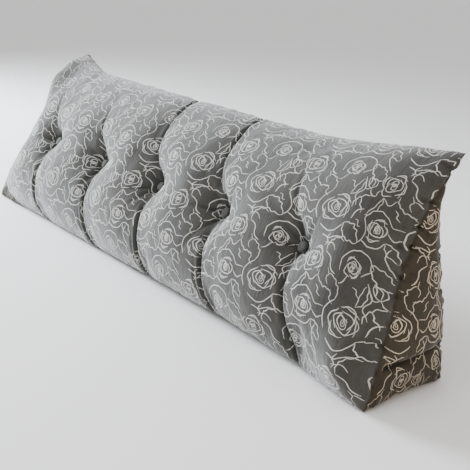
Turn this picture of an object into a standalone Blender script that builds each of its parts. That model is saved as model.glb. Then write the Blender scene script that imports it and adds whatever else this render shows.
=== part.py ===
# Wedge-shaped backrest pillow: one filled, button-tufted cushion and its five covered buttons.
# X runs along the pillow, -Y is its sloping front, +Y its upright back, +Z is up.
# The origin is the bottom centre of the whole pillow's box. Metres throughout.
# A share runs from 0 to 1 across a panel, from one of its seams to the other.

import math

import bpy
from mathutils import Vector

# Driving sizes
LENGTH = 1.50            # from ear to ear
HEIGHT = 0.455           # of the upright back, ear to floor
DEPTH = 0.245            # of the base, front ear to back ear
FRONT_CROWN = 0.108      # how far the filled front stands out of its seams
FRONT_ROUND = 0.70       # lower is boxier
FRONT_LEAN = 0.88        # below 1, the front is fullest under its middle
BACK_CROWN = 0.034
BACK_ROUND = 0.70

# Buttons, and how they pull the front in
BUTTON_PITCH = 0.252
BUTTON_SHARE = 0.46      # of the way from the lower front seam to the top seam
BUTTON_RADIUS = 0.012
BUTTON_HEIGHT = 0.008
BUTTON_SIDES = 20
SEAT_RADIUS = 0.0135     # flat bottom of a dimple, a little wider than its button
SEAT_GAP = 0.0003
DIMPLE_REACH = 0.045     # how quickly a dimple widens
RISE_REACH = 0.08        # how far along a button's own height moves the mesh rows

# Valleys between the columns of puffs
VALLEY_DEPTH = 0.024
VALLEY_HALF = 0.125      # half of a puff's width
END_VALLEY_HALF = 0.17   # the outermost puffs rise more slowly
VALLEY_AT_SEAM = 0.25    # share of the valley that is left at the long seams
VALLEY_FADE = 0.6        # share of the way to the top seam over which a valley runs out
CREASE_DEPTH = 0.011     # sharp pleat along the bottom of each valley
CREASE_REACH = 0.013
CREASE_START = 0.075     # the pleat begins softly over this length past its button
SADDLE_DEPTH = 0.010     # the puffs sink a little between two buttons
SADDLE_REACH = 0.075
NOTCH_DEPTH = 0.004      # the pleats also pull the long seams in
NOTCH_REACH = 0.020
TUFT_END_FADE = 0.12     # no tufting is left this close to an end seam

# The cloth lies askew, so each valley drifts along X on its way from its button to a seam
LEAN_TOP = -0.070
LEAN_TOP_POWER = 2.8
LEAN_FRONT = 0.074
LEAN_FRONT_POWER = 2.2
LEAN_START = 0.050       # the drift begins softly over this length past the seat
LEAN_RUN = 0.20          # the mesh follows it, but not so close to the ends

# Seams: how far each long seam is drawn in between its ears, towards the section's middle,
# in the far half and in the near half
SECTION_MIDDLE = Vector((0.0, 0.04, 0.15))
DRAW_IN = {
    "top": {"far": 0.048, "near": 0.042},
    "front": {"far": 0.000, "near": 0.029},
    "back": {"far": 0.028, "near": 0.028},
}
EAR_TIP_SHARE = 0.2      # share of the draw-in that happens right behind an ear
EAR_TIP_POWER = 6
SEAM_ROUND = 0.8
FLOOR_CURL = 0.22        # share of the base, at each side, that curls up to its seam

# The end seams bow in along X between their corners; a lean moves the bow up or down the seam,
# and a higher round makes it narrower
END_BOW = {
    "front": {"depth": 0.038, "lean": 1.6, "round": 1.0},
    "back": {"depth": 0.042, "lean": 0.42, "round": 1.7},
    "bottom": {"depth": 0.006, "lean": 1.0, "round": 0.8},
}
END_BOW_RUN = 0.16
END_PINCH = 0.012        # the back's end seams are also pulled forward
END_CROWN_FULL = 0.25    # the ends stand out less towards their narrow top
END_CROWN_FLOOR = 0.3    # and keep only this share of their crown at the floor
END_CROWN_LOW = 0.12
END_ROUND = 0.75

# Fold across each end, where the cloth buckles above the floor
FOLD_HEIGHT = 0.074
FOLD_SAG = 0.9           # per metre: the fold curves up towards front and back
FOLD_DEPTH = 0.013
FOLD_REACH = 0.011
FOLD_START = 0.33        # share of the way in from the end seam where it is full

# One row for each end: over what length its seams draw in, over what length the front and
# the back reach their full crown, and how far the triangular end itself stands out
ENDS = {
    "far": {"side": -1.0, "ear_run": 0.24, "front_run": 0.21, "back_run": 0.30, "crown": 0.034},
    "near": {"side": 1.0, "ear_run": 0.42, "front_run": 0.26, "back_run": 0.42, "crown": 0.026},
}

# One row for each ear: how far its tip lies from the plain wedge's corner
EARS = {
    ("far", "top"): {"x": 0.010, "y": 0.020, "z": -0.006},
    ("far", "front"): {"x": -0.002, "y": -0.014, "z": 0.0},
    ("far", "back"): {"x": 0.004, "y": 0.004, "z": 0.0},
    ("near", "top"): {"x": -0.013, "y": -0.012, "z": 0.001},
    ("near", "front"): {"x": 0.014, "y": 0.012, "z": 0.0},
    ("near", "back"): {"x": 0.008, "y": 0.006, "z": 0.0},
}

# One row for each button: its place in the row, how deep it is pulled, how far above the
# row's line it sits, how strong its valley is, and how much of that is left at the top seam
TUFTS = [
    {"name": "button_1", "place": -2, "depth": 0.028, "rise": 0.004, "valley": 0.90, "top": 0.05},
    {"name": "button_2", "place": -1, "depth": 0.029, "rise": -0.004, "valley": 1.05, "top": 0.15},
    {"name": "button_3", "place": 0, "depth": 0.033, "rise": 0.000, "valley": 1.15, "top": 0.90},
    {"name": "button_4", "place": 1, "depth": 0.032, "rise": 0.003, "valley": 1.12, "top": 0.75},
    {"name": "button_5", "place": 2, "depth": 0.030, "rise": -0.002, "valley": 1.00, "top": 0.10},
]

# One row for each place on the front where the filling stands fuller or has settled
LUMPS = [
    {"x": -0.705, "share": 0.77, "height": 0.040, "reach": 0.070},
    {"x": -0.700, "share": 0.42, "height": -0.024, "reach": 0.075},
    {"x": -0.500, "share": 0.10, "height": 0.013, "reach": 0.170},
    {"x": 0.560, "share": 0.06, "height": -0.026, "reach": 0.070},
    {"x": 0.700, "share": 0.10, "height": 0.034, "reach": 0.060},
    {"x": 0.640, "share": 0.80, "height": 0.008, "reach": 0.090},
    {"x": -0.715, "share": 0.92, "height": 0.016, "reach": 0.045},
]
LUMP_END_FADE = 0.03
LUMP_SEAM_FADE = 0.25

# Mesh steps: from a button's centre, from the end seams and from the long seams
STEPS_BY_BUTTON = [0.0068, SEAT_RADIUS, 0.024, 0.042, 0.066, 0.094]
STEPS_BY_END = [0.0, 0.006, 0.016, 0.031, 0.050, 0.073, 0.098, 0.124]
ROWS_BY_BUTTON = [0.0068, SEAT_RADIUS, 0.024, 0.042, 0.068, 0.100, 0.135, 0.170]
ROWS_BY_SEAM = [0.0, 0.014, 0.036, 0.066]
BACK_ROWS = 9
BOTTOM_ROWS = 8
END_RINGS = 7
CIRCLE_FULL = 0.026      # the steps round a button are circles up to here
CIRCLE_NONE = 0.068      # and straight rows again from here
CUSHION_SHARP = math.radians(60.0)
BUTTON_SHARP = math.radians(50.0)

# A covered button's profile: its flat back, its rim, then its dome
BUTTON_RIM = [{"wide": 0.80, "high": 0.0}, {"wide": 0.97, "high": 0.16}, {"wide": 1.0, "high": 0.38}]
BUTTON_DOME_DEGREES = [28, 50, 70]

CLOTH_GREY = (0.127, 0.127, 0.122)
BUTTON_GREY = (0.105, 0.105, 0.100)
CLOTH_ROUGHNESS = 0.85

CORNERS = {
    "top": Vector((0.0, DEPTH / 2, HEIGHT)),
    "front": Vector((0.0, -DEPTH / 2, 0.0)),
    "back": Vector((0.0, DEPTH / 2, 0.0)),
}
SLOPE_LENGTH = (CORNERS["top"] - CORNERS["front"]).length


def clear_scene():
    for item in list(bpy.data.objects):
        bpy.data.objects.remove(item)


def make_material(name, colour):
    material = bpy.data.materials.new(name)
    material.use_nodes = True
    shader = material.node_tree.nodes["Principled BSDF"]
    shader.inputs["Base Color"].default_value = (*colour, 1.0)
    shader.inputs["Roughness"].default_value = CLOTH_ROUGHNESS
    shader.inputs["Metallic"].default_value = 0.0
    return material


def clamp(value):
    return min(1.0, max(0.0, value))


def smooth(value):
    value = clamp(value)
    return value * value * (3.0 - 2.0 * value)


def half_wave(share):
    return math.sin(math.pi * clamp(share))


def end_at(x):
    return ENDS["near" if x >= 0.0 else "far"]


def from_end(x):
    return max(0.0, LENGTH / 2 - abs(x))


# Shapes of the long seams

def seam_draw(corner, x):
    run = clamp(from_end(x) / end_at(x)["ear_run"])
    tip = 1.0 - (1.0 - run) ** EAR_TIP_POWER
    near_share = smooth(0.5 + x / LENGTH)
    row = DRAW_IN[corner]
    full = row["far"] * (1.0 - near_share) + row["near"] * near_share
    return full * (EAR_TIP_SHARE * tip + (1.0 - EAR_TIP_SHARE) * smooth(run))


def seam_notch(corner, x):
    if corner == "back":
        return 0.0
    total = 0.0
    for tuft in TUFTS:
        lean = LEAN_TOP if corner == "top" else LEAN_FRONT
        left = tuft["top"] if corner == "top" else 1.0
        away = abs(x - tuft["place"] * BUTTON_PITCH - lean) / NOTCH_REACH
        total += NOTCH_DEPTH * tuft["valley"] * left * math.exp(-away)
    return total


def seam_point(corner, x):
    inward = (SECTION_MIDDLE - CORNERS[corner]).normalized()
    point = CORNERS[corner] + inward * (seam_draw(corner, x) + seam_notch(corner, x))
    point.x = x
    ear = EARS[("near" if x >= 0.0 else "far", corner)]
    reach = 1.0 - smooth(from_end(x) / end_at(x)["ear_run"])
    return point + Vector((ear["x"], ear["y"], ear["z"])) * reach


def end_bow(side, x, share):
    # the bow of an end seam, fading out along the pillow
    fade = 1.0 - smooth(from_end(x) / END_BOW_RUN)
    arch = half_wave(share ** END_BOW[side]["lean"]) ** END_BOW[side]["round"]
    return -end_at(x)["side"] * END_BOW[side]["depth"] * arch * fade


def end_rise(x, run_name, roundness):
    run = clamp(from_end(x) / end_at(x)[run_name])
    return (1.0 - (1.0 - run) ** 2) ** roundness


# Shape of the tufted front

def above_row(share):
    return clamp((share - BUTTON_SHARE) / (1.0 - BUTTON_SHARE))


def valley_lean(share):
    up = above_row(share)
    down = clamp((BUTTON_SHARE - share) / BUTTON_SHARE)
    lean = LEAN_TOP * (1.0 - (1.0 - up) ** LEAN_TOP_POWER) + LEAN_FRONT * down ** LEAN_FRONT_POWER
    away = abs(share - BUTTON_SHARE) * SLOPE_LENGTH
    return lean * smooth((away - SEAT_RADIUS) / LEAN_START)


def slide(x, lean):
    # moves a mesh step along with the valleys
    return x + lean * smooth(from_end(x) / LEAN_RUN)


def valley(x, share):
    total = 0.0
    lean = valley_lean(share)
    run_out = smooth(above_row(share) / VALLEY_FADE)
    begun = smooth(abs(share - BUTTON_SHARE) * SLOPE_LENGTH / CREASE_START)
    for tuft in TUFTS:
        offset = x - tuft["place"] * BUTTON_PITCH - lean
        outermost = abs(tuft["place"]) == 2 and tuft["place"] * offset > 0.0
        half = END_VALLEY_HALF if outermost else VALLEY_HALF
        soft = VALLEY_DEPTH * clamp(1.0 - abs(offset) / half) ** 2
        crease = CREASE_DEPTH * begun * math.exp(-abs(offset) / CREASE_REACH)
        total += tuft["valley"] * (1.0 - (1.0 - tuft["top"]) * run_out) * (soft + crease)
    return total * (VALLEY_AT_SEAM + (1.0 - VALLEY_AT_SEAM) * half_wave(share) ** SEAM_ROUND)


def saddle(x, share):
    inside = smooth((2.5 * BUTTON_PITCH - abs(x)) / (0.5 * BUTTON_PITCH))
    along = (share - BUTTON_SHARE) * SLOPE_LENGTH / SADDLE_REACH
    return SADDLE_DEPTH * inside * math.exp(-along * along)


def dimple(x, share):
    total = 0.0
    for tuft in TUFTS:
        offset = Vector((x, share * SLOPE_LENGTH)) - tuft_centre(tuft)
        total += tuft["depth"] * math.exp(-max(0.0, offset.length - SEAT_RADIUS) / DIMPLE_REACH)
    return total


def lump(x, share):
    total = 0.0
    for row in LUMPS:
        across = (x - row["x"]) / row["reach"]
        along = (share - row["share"]) * SLOPE_LENGTH / row["reach"]
        total += row["height"] * math.exp(-across * across - along * along)
    return total


def front_normal(x):
    rise = seam_point("top", x) - seam_point("front", x)
    return Vector((0.0, -rise.z, rise.y)).normalized()


def front_point(x, share):
    point = seam_point("front", x).lerp(seam_point("top", x), share)
    edge = half_wave(share)
    crown = FRONT_CROWN * half_wave(share ** FRONT_LEAN) ** FRONT_ROUND
    height = crown * end_rise(x, "front_run", FRONT_ROUND)
    at_edge = clamp(from_end(x) / LUMP_END_FADE) * clamp(edge / LUMP_SEAM_FADE)
    height += lump(x, share) * math.sqrt(at_edge)
    sunk = (valley(x, share) + saddle(x, share)) * math.sqrt(edge) + dimple(x, share) * edge
    height -= sunk * smooth(from_end(x) / TUFT_END_FADE)
    point += front_normal(x) * height
    point.x += end_bow("front", x, share)
    return point


def tuft_centre(tuft):
    # along the pillow, and up the slope
    return Vector((tuft["place"] * BUTTON_PITCH, BUTTON_SHARE * SLOPE_LENGTH + tuft["rise"]))


def tuft_seat(tuft):
    x, slope = tuft_centre(tuft)
    return front_point(x, slope / SLOPE_LENGTH), front_normal(x)


def nearest_tuft(x):
    return min(TUFTS, key=lambda tuft: abs(x - tuft["place"] * BUTTON_PITCH))


def lift_row(x, slope):
    # the mesh rows follow each button's own height
    total = slope
    for tuft in TUFTS:
        away = (x - tuft["place"] * BUTTON_PITCH) / RISE_REACH
        total += tuft["rise"] * math.exp(-away * away) * half_wave(slope / SLOPE_LENGTH)
    return total


def round_out(x, slope):
    # turns the square steps round a button into rings
    centre = tuft_centre(nearest_tuft(x))
    offset = Vector((x, slope)) - centre
    square = max(abs(offset.x), abs(offset.y))
    if square == 0.0 or square > CIRCLE_NONE:
        return Vector((x, slope))
    fade = 1.0 - smooth((square - CIRCLE_FULL) / (CIRCLE_NONE - CIRCLE_FULL))
    return centre + offset * (1.0 + (square / offset.length - 1.0) * fade)


def flatten_seat(point, place):
    # the cloth under a button is flat, square to the slope
    tuft = nearest_tuft(place.x)
    if (place - tuft_centre(tuft)).length > SEAT_RADIUS + SEAT_GAP:
        return point
    seat, normal = tuft_seat(tuft)
    return point - normal * (point - seat).dot(normal)


# Shapes of the back and the base

def back_point(x, share):
    point = seam_point("top", x).lerp(seam_point("back", x), share)
    pinch = END_PINCH * (1.0 - smooth(from_end(x) / END_BOW_RUN))
    crown = BACK_CROWN * end_rise(x, "back_run", BACK_ROUND)
    point.y += (crown - pinch) * half_wave(share) ** BACK_ROUND
    point.x += end_bow("back", x, share)
    return point


def bottom_point(x, share):
    point = seam_point("back", x).lerp(seam_point("front", x), share)
    inside = clamp(min(share, 1.0 - share) / FLOOR_CURL)
    point.z *= 1.0 - half_wave(inside / 2) ** SEAM_ROUND
    point.x += end_bow("bottom", x, share)
    return point


# Mesh of the cushion

def stations():
    places = {0.0}
    for tuft in TUFTS:
        centre = tuft["place"] * BUTTON_PITCH
        places.add(centre)
        for step in STEPS_BY_BUTTON:
            places.update((centre - step, centre + step))
        if abs(tuft["place"]) < 2:
            places.update((centre - BUTTON_PITCH / 2, centre + BUTTON_PITCH / 2))
    for step in STEPS_BY_END:
        places.update((step - LENGTH / 2, LENGTH / 2 - step))
    return sorted({round(place, 5) for place in places})


def front_rows():
    middle = BUTTON_SHARE * SLOPE_LENGTH
    rows = {middle}
    for step in ROWS_BY_BUTTON:
        rows.update((middle - step, middle + step))
    for step in ROWS_BY_SEAM:
        rows.update((step, SLOPE_LENGTH - step))
    rows = sorted(round(row, 5) for row in rows)
    return [row for row, after in zip(rows, rows[1:]) if after - row > SEAT_RADIUS / 3]


def section(x):
    # one closed loop of points: up the front, down the back, along the base to the front
    loop = []
    for row in front_rows():
        place = round_out(x, lift_row(x, row))
        share = clamp(place.y / SLOPE_LENGTH)
        place.x = slide(place.x, valley_lean(share))
        loop.append(flatten_seat(front_point(place.x, share), place))
    for row in range(BACK_ROWS):
        share = row / BACK_ROWS
        loop.append(back_point(slide(x, LEAN_TOP * (1.0 - share)), share))
    for row in range(BOTTOM_ROWS):
        share = row / BOTTOM_ROWS
        loop.append(bottom_point(slide(x, LEAN_FRONT * share), share))
    return loop


def end_fold(point):
    away = (point.z - FOLD_HEIGHT - FOLD_SAG * point.y ** 2) / FOLD_REACH
    return FOLD_DEPTH * math.exp(-away * away)


def end_middle(loop):
    middle = SECTION_MIDDLE.copy()
    middle.x = sum(point.x for point in loop) / len(loop)
    return middle


def end_ring(loop, end, share):
    # one ring of an end panel, from its seam towards the panel's middle
    middle = end_middle(loop)
    arch = half_wave(share / 2) ** END_ROUND
    points = []
    for point in loop:
        inner = point.lerp(middle, share)
        swell = end["crown"] * arch * clamp((HEIGHT - inner.z) / END_CROWN_FULL)
        swell *= END_CROWN_FLOOR + (1.0 - END_CROWN_FLOOR) * smooth(inner.z / END_CROWN_LOW)
        swell -= end_fold(inner) * smooth(share / FOLD_START)
        inner.x += end["side"] * swell
        points.append(inner)
    return points


def add_loop(vertices, points):
    start = len(vertices)
    vertices.extend(points)
    return list(range(start, start + len(points)))


def bridge(faces, first, second):
    count = len(first)
    for index in range(count):
        after = (index + 1) % count
        faces.append((first[index], second[index], second[after], first[after]))


def close_end(vertices, faces, loop, outer, end):
    # rings inwards from the end seam, then a fan on the middle
    for ring in range(1, END_RINGS):
        inner = add_loop(vertices, end_ring(loop, end, ring / END_RINGS))
        pair = (outer, inner) if end["side"] > 0 else (inner, outer)
        bridge(faces, *pair)
        outer = inner
    middle = end_middle(loop)
    middle.x += end["side"] * end["crown"]
    tip = add_loop(vertices, [middle])[0]
    for index, first in enumerate(outer):
        second = outer[(index + 1) % len(outer)]
        pair = (second, first) if end["side"] > 0 else (first, second)
        faces.append((*pair, tip))


def build_mesh(name, vertices, faces, material, sharp_angle):
    mesh = bpy.data.meshes.new(name)
    mesh.from_pydata([tuple(point) for point in vertices], [], faces)
    mesh.materials.append(material)
    mesh.shade_smooth()
    mesh.set_sharp_from_angle(angle=sharp_angle)
    item = bpy.data.objects.new(name, mesh)
    bpy.context.scene.collection.objects.link(item)
    return item


def build_cushion(material):
    vertices, faces = [], []
    loops = [section(x) for x in stations()]
    indices = [add_loop(vertices, loop) for loop in loops]
    for first, second in zip(indices, indices[1:]):
        bridge(faces, first, second)
    close_end(vertices, faces, loops[0], indices[0], ENDS["far"])
    close_end(vertices, faces, loops[-1], indices[-1], ENDS["near"])
    return build_mesh("cushion", vertices, faces, material, CUSHION_SHARP)


def button_profile():
    rows = [(row["wide"], row["high"]) for row in BUTTON_RIM]
    rim_high = BUTTON_RIM[-1]["high"]
    for degrees in BUTTON_DOME_DEGREES:
        angle = math.radians(degrees)
        rows.append((math.cos(angle), rim_high + (1.0 - rim_high) * math.sin(angle)))
    return rows


def build_button(tuft, material):
    seat, normal = tuft_seat(tuft)
    turn = normal.to_track_quat("Z", "Y").to_matrix()
    vertices, faces, rings = [], [], []
    for wide, high in button_profile():
        ring = []
        for index in range(BUTTON_SIDES):
            angle = 2.0 * math.pi * index / BUTTON_SIDES
            spoke = Vector((math.cos(angle), math.sin(angle), 0.0)) * wide * BUTTON_RADIUS
            spoke.z = high * BUTTON_HEIGHT + SEAT_GAP
            ring.append(seat + turn @ spoke)
        rings.append(add_loop(vertices, ring))
    for lower, upper in zip(rings, rings[1:]):
        bridge(faces, upper, lower)
    faces.append(tuple(reversed(rings[0])))
    tip = add_loop(vertices, [seat + normal * (BUTTON_HEIGHT + SEAT_GAP)])[0]
    for index, first in enumerate(rings[-1]):
        faces.append((first, rings[-1][(index + 1) % BUTTON_SIDES], tip))
    return build_mesh(tuft["name"], vertices, faces, material, BUTTON_SHARP)


def centre_on_origin(items):
    # the pillow's box is centred over the origin and stands on z = 0
    points = [vertex.co for item in items for vertex in item.data.vertices]
    low = Vector([min(point[axis] for point in points) for axis in range(3)])
    high = Vector([max(point[axis] for point in points) for axis in range(3)])
    shift = Vector((-(low.x + high.x) / 2, -(low.y + high.y) / 2, -low.z))
    for item in items:
        for vertex in item.data.vertices:
            vertex.co += shift
        item.data.update()


def main():
    clear_scene()
    cloth = make_material("velvet_grey", CLOTH_GREY)
    covered = make_material("velvet_button", BUTTON_GREY)
    items = [build_cushion(cloth)]
    for tuft in TUFTS:
        items.append(build_button(tuft, covered))
    centre_on_origin(items)


main()
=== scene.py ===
import math

import bpy
import numpy as np
from mathutils import Matrix, Vector, geometry, noise


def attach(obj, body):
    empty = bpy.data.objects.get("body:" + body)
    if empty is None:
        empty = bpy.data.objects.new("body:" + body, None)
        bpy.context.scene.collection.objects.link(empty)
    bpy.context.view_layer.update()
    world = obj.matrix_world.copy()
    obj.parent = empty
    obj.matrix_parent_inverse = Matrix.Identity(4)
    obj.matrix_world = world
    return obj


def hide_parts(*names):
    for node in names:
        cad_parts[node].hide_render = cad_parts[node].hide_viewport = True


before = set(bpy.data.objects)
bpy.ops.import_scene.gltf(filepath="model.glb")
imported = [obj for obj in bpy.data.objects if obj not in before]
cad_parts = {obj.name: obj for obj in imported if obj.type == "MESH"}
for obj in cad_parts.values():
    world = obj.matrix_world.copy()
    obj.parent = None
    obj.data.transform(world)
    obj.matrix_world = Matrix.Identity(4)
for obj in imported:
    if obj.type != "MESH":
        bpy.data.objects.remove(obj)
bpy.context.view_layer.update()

# A wedge-shaped backrest pillow in printed velvet, tufted with five covered buttons.
# X runs along it, -Y is the sloping front, +Y the upright back. Metres.

def newObject(name, mesh):
    item = bpy.data.objects.new(name, mesh)
    bpy.context.scene.collection.objects.link(item)
    return item


# Camera at the photograph's angle, a pale floor and soft studio light
studio = {
    "cameraPlace": (1.5326, -1.1002, 0.7260), "lens": 60.19,
    "cameraRight": (0.62635, 0.77495, 0.08443), "cameraUp": (-0.29747, 0.13749, 0.94478),
    "cameraBack": (0.72055, -0.61688, 0.31664),
    "floorHex": "#f6f6f5", "floorSize": 600.0, "skyHex": "#ffffff",
    "skyBright": 1.15, "skyDim": 0.34, "skySide": (-0.62, 0.72, 0.30),  # brighter on that side
    "lights": [  # name, place, aim, size, watts, colour
        ("windowKey", (-2.9, -1.1, 1.25), (-0.2, 0.0, 0.2), 1.3, 365.0, "#f1f6ff"),
        ("topSoft", (0.4, -1.4, 3.0), (0.2, 0.0, 0.2), 2.6, 36.0, "#ffffff"),
        ("warmFill", (2.6, -0.5, 0.6), (0.7, 0.0, 0.2), 1.0, 12.0, "#d89c5e"),
    ],
}


def hexColour(text):
    # a web colour, as the linear values that shaders take
    values = [int(text[k:k + 2], 16) / 255.0 for k in (1, 3, 5)]
    return (*(v / 12.92 if v <= 0.04045 else ((v + 0.055) / 1.055) ** 2.4 for v in values), 1.0)


def addNode(tree, kind, inputs=None, **settings):
    # one node with its settings, and its sockets set or linked
    node = tree.nodes.new(kind)
    for name, value in settings.items():
        setattr(node, name, value)
    for key, value in (inputs or {}).items():
        if isinstance(value, bpy.types.NodeSocket):
            tree.links.new(value, node.inputs[key])
        else:
            node.inputs[key].default_value = value
    return node


def newMaterial(name):
    material = bpy.data.materials.new(name)
    material.use_nodes = True
    material.node_tree.nodes.clear()
    return material, material.node_tree


def setStudio():
    scene = bpy.context.scene
    camera = newObject("photoCamera", bpy.data.cameras.new("photoCamera"))
    camera.data.lens = studio["lens"]
    camera.data.sensor_width = 36.0
    camera.data.clip_end = 1000.0
    columns = [studio[name] for name in ("cameraRight", "cameraUp", "cameraBack", "cameraPlace")]
    camera.matrix_world = Matrix([[column[row] for column in columns] for row in range(3)]
                                 + [[0.0, 0.0, 0.0, 1.0]])
    scene.camera = camera
    for name, place, aim, size, watts, colour in studio["lights"]:
        light = newObject(name, bpy.data.lights.new(name, "AREA"))
        light.data.shape = "DISK"
        light.data.size = size
        light.data.energy = watts
        light.data.color = hexColour(colour)[:3]
        light.location = place
        light.rotation_euler = (Vector(aim) - Vector(place)).to_track_quat("-Z", "Y").to_euler()
    sky = bpy.data.worlds.new("studioSky")
    sky.use_nodes = True
    tree = sky.node_tree
    toward = addNode(tree, "ShaderNodeVectorMath", {
        0: addNode(tree, "ShaderNodeTexCoord").outputs["Generated"], 1: studio["skySide"]},
        operation="DOT_PRODUCT")
    strength = addNode(tree, "ShaderNodeMapRange", {
        "Value": toward.outputs["Value"], "From Min": -0.9, "From Max": 0.9,
        "To Min": studio["skyDim"], "To Max": studio["skyBright"]})
    background = tree.nodes["Background"]
    background.inputs["Color"].default_value = hexColour(studio["skyHex"])
    tree.links.new(strength.outputs["Result"], background.inputs["Strength"])
    scene.world = sky
    side = studio["floorSize"] / 2
    mesh = bpy.data.meshes.new("studioFloor")
    mesh.from_pydata([(-side, -side, 0), (side, -side, 0), (side, side, 0), (-side, side, 0)], [],
                     [(0, 1, 2, 3)])
    material, tree = newMaterial("paleFloor")  # matt studio paper
    paint = addNode(tree, "ShaderNodeBsdfPrincipled", {
        "Base Color": hexColour(studio["floorHex"]), "Roughness": 0.9, "Specular IOR Level": 0.1})
    addNode(tree, "ShaderNodeOutputMaterial", {"Surface": paint.outputs[0]})
    mesh.materials.append(material)
    floor = newObject("studioFloor", mesh)


setStudio()
print("studio set")

# The cushion's form, the same named sizes as the solid's
form = {
    "length": 1.50, "height": 0.455, "depth": 0.245,
    "frontCrown": 0.108, "frontRound": 0.70, "frontLean": 0.88,
    "backCrown": 0.034, "backRound": 0.70,
    "pitch": 0.252, "buttonShare": 0.46, "seatRadius": 0.0135, "dimpleReach": 0.045,
    "leanTop": -0.070, "leanTopPower": 2.8,   # how far the valleys drift above their button
    "leanBase": 0.074, "leanBasePower": 2.2,  # and below it
    "leanStart": 0.050,
    "valleyDepth": 0.024, "valleyHalf": 0.125, "endValleyHalf": 0.17, "valleyAtSeam": 0.25,
    "valleyFade": 0.6, "creaseDepth": 0.010, "creaseReach": 0.0085, "creaseStart": 0.075,
    "saddleDepth": 0.010, "saddleReach": 0.075,
    "notchDepth": 0.004, "notchReach": 0.020, "tuftEndFade": 0.12,
    "middle": (0.0, 0.04, 0.15),
    "earTipShare": 0.2, "earTipPower": 6, "seamRound": 0.8, "floorCurl": 0.22,
    "bowRun": 0.16, "pinch": 0.012, "crownFull": 0.25, "crownFloor": 0.3, "crownLow": 0.12,
    "endRound": 0.75,
    "foldHeight": 0.074, "foldSag": 0.9, "foldDepth": 0.013, "foldReach": 0.011,
    "centring": (-0.0002, 0.0066, 0.0),  # from the wedge's own middle to the box's
    "foldStart": 0.33, "lumpEndFade": 0.03, "lumpSeamFade": 0.25,
}
drawIn = {"top": (0.048, 0.042), "front": (0.0, 0.029), "back": (0.028, 0.028)}  # far, near
endBow = {  # depth, lean, round
    "front": (0.038, 1.6, 1.0), "back": (0.042, 0.42, 1.7), "bottom": (0.006, 1.0, 0.8),
}
ends = {
    "far": {"side": -1.0, "ear": 0.24, "front": 0.21, "back": 0.30, "crown": 0.034},
    "near": {"side": 1.0, "ear": 0.42, "front": 0.26, "back": 0.42, "crown": 0.026},
}
ears = {  # how far each ear lies from the plain wedge's corner
    ("far", "top"): (0.010, 0.020, -0.006), ("near", "top"): (-0.013, -0.012, 0.001),
    ("far", "front"): (-0.002, -0.014, 0.0), ("near", "front"): (0.014, 0.012, 0.0),
    ("far", "back"): (0.004, 0.004, 0.0), ("near", "back"): (0.008, 0.006, 0.0),
}
tufts = [  # place in the row, depth of the pull, height above the row, valley, its share at the top
    {"node": "button_1", "place": -2, "depth": 0.028, "rise": 0.004, "valley": 0.90, "top": 0.05},
    {"node": "button_2", "place": -1, "depth": 0.029, "rise": -0.004, "valley": 1.05, "top": 0.15},
    {"node": "button_3", "place": 0, "depth": 0.033, "rise": 0.000, "valley": 1.15, "top": 0.90},
    {"node": "button_4", "place": 1, "depth": 0.032, "rise": 0.003, "valley": 1.12, "top": 0.75},
    {"node": "button_5", "place": 2, "depth": 0.030, "rise": -0.002, "valley": 1.00, "top": 0.10},
]
lumps = [  # where the filling stands fuller or has settled: x, share, height, reach
    (-0.705, 0.77, 0.040, 0.070), (-0.700, 0.42, -0.024, 0.075), (-0.500, 0.10, 0.013, 0.170),
    (0.560, 0.06, -0.026, 0.070), (0.700, 0.10, 0.034, 0.060), (0.640, 0.80, 0.008, 0.090),
    (-0.715, 0.92, 0.016, 0.045),
]
half = form["length"] / 2
corners = {
    "top": np.array([0.0, form["depth"] / 2, form["height"]]),
    "front": np.array([0.0, -form["depth"] / 2, 0.0]),
    "back": np.array([0.0, form["depth"] / 2, 0.0]),
}
slopeLength = float(np.linalg.norm(corners["top"] - corners["front"]))


def smooth(value):
    value = np.clip(value, 0.0, 1.0)
    return value * value * (3.0 - 2.0 * value)


def halfWave(share):
    return np.sin(math.pi * np.clip(share, 0.0, 1.0))


def byEnd(x, key):
    return np.where(x >= 0.0, ends["near"][key], ends["far"][key])


def fromEnd(x):
    return np.maximum(0.0, half - np.abs(x))


def seamPoints(corner, x):
    # one long seam: drawn in between its two ears, nicked where the pleats reach it
    run = np.clip(fromEnd(x) / byEnd(x, "ear"), 0.0, 1.0)
    tip = 1.0 - (1.0 - run) ** form["earTipPower"]
    nearShare = smooth(0.5 + x / form["length"])
    far, near = drawIn[corner]
    draw = (far * (1.0 - nearShare) + near * nearShare)
    draw = draw * (form["earTipShare"] * tip + (1.0 - form["earTipShare"]) * smooth(run))
    lean = {"top": form["leanTop"], "front": form["leanBase"], "back": None}[corner]
    if lean is not None:
        for tuft in tufts:
            away = np.abs(x - tuft["place"] * form["pitch"] - lean) / form["notchReach"]
            left = tuft["top"] if corner == "top" else 1.0
            draw = draw + form["notchDepth"] * tuft["valley"] * left * np.exp(-away)
    inward = np.array(form["middle"]) - corners[corner]
    inward = inward / np.linalg.norm(inward)
    points = corners[corner] + inward * draw[..., None]
    points[..., 0] = x
    ear = np.where((x >= 0.0)[..., None], ears[("near", corner)], ears[("far", corner)])
    return points + ear * (1.0 - smooth(fromEnd(x) / byEnd(x, "ear")))[..., None]


def bowIn(side, x, share):
    depth, lean, roundness = endBow[side]
    fade = 1.0 - smooth(fromEnd(x) / form["bowRun"])
    return -byEnd(x, "side") * depth * halfWave(share ** lean) ** roundness * fade


def endRise(x, side, roundness):
    run = np.clip(fromEnd(x) / byEnd(x, side), 0.0, 1.0)
    return (1.0 - (1.0 - run) ** 2) ** roundness


def aboveRow(share):
    return np.clip((share - form["buttonShare"]) / (1.0 - form["buttonShare"]), 0.0, 1.0)


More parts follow.
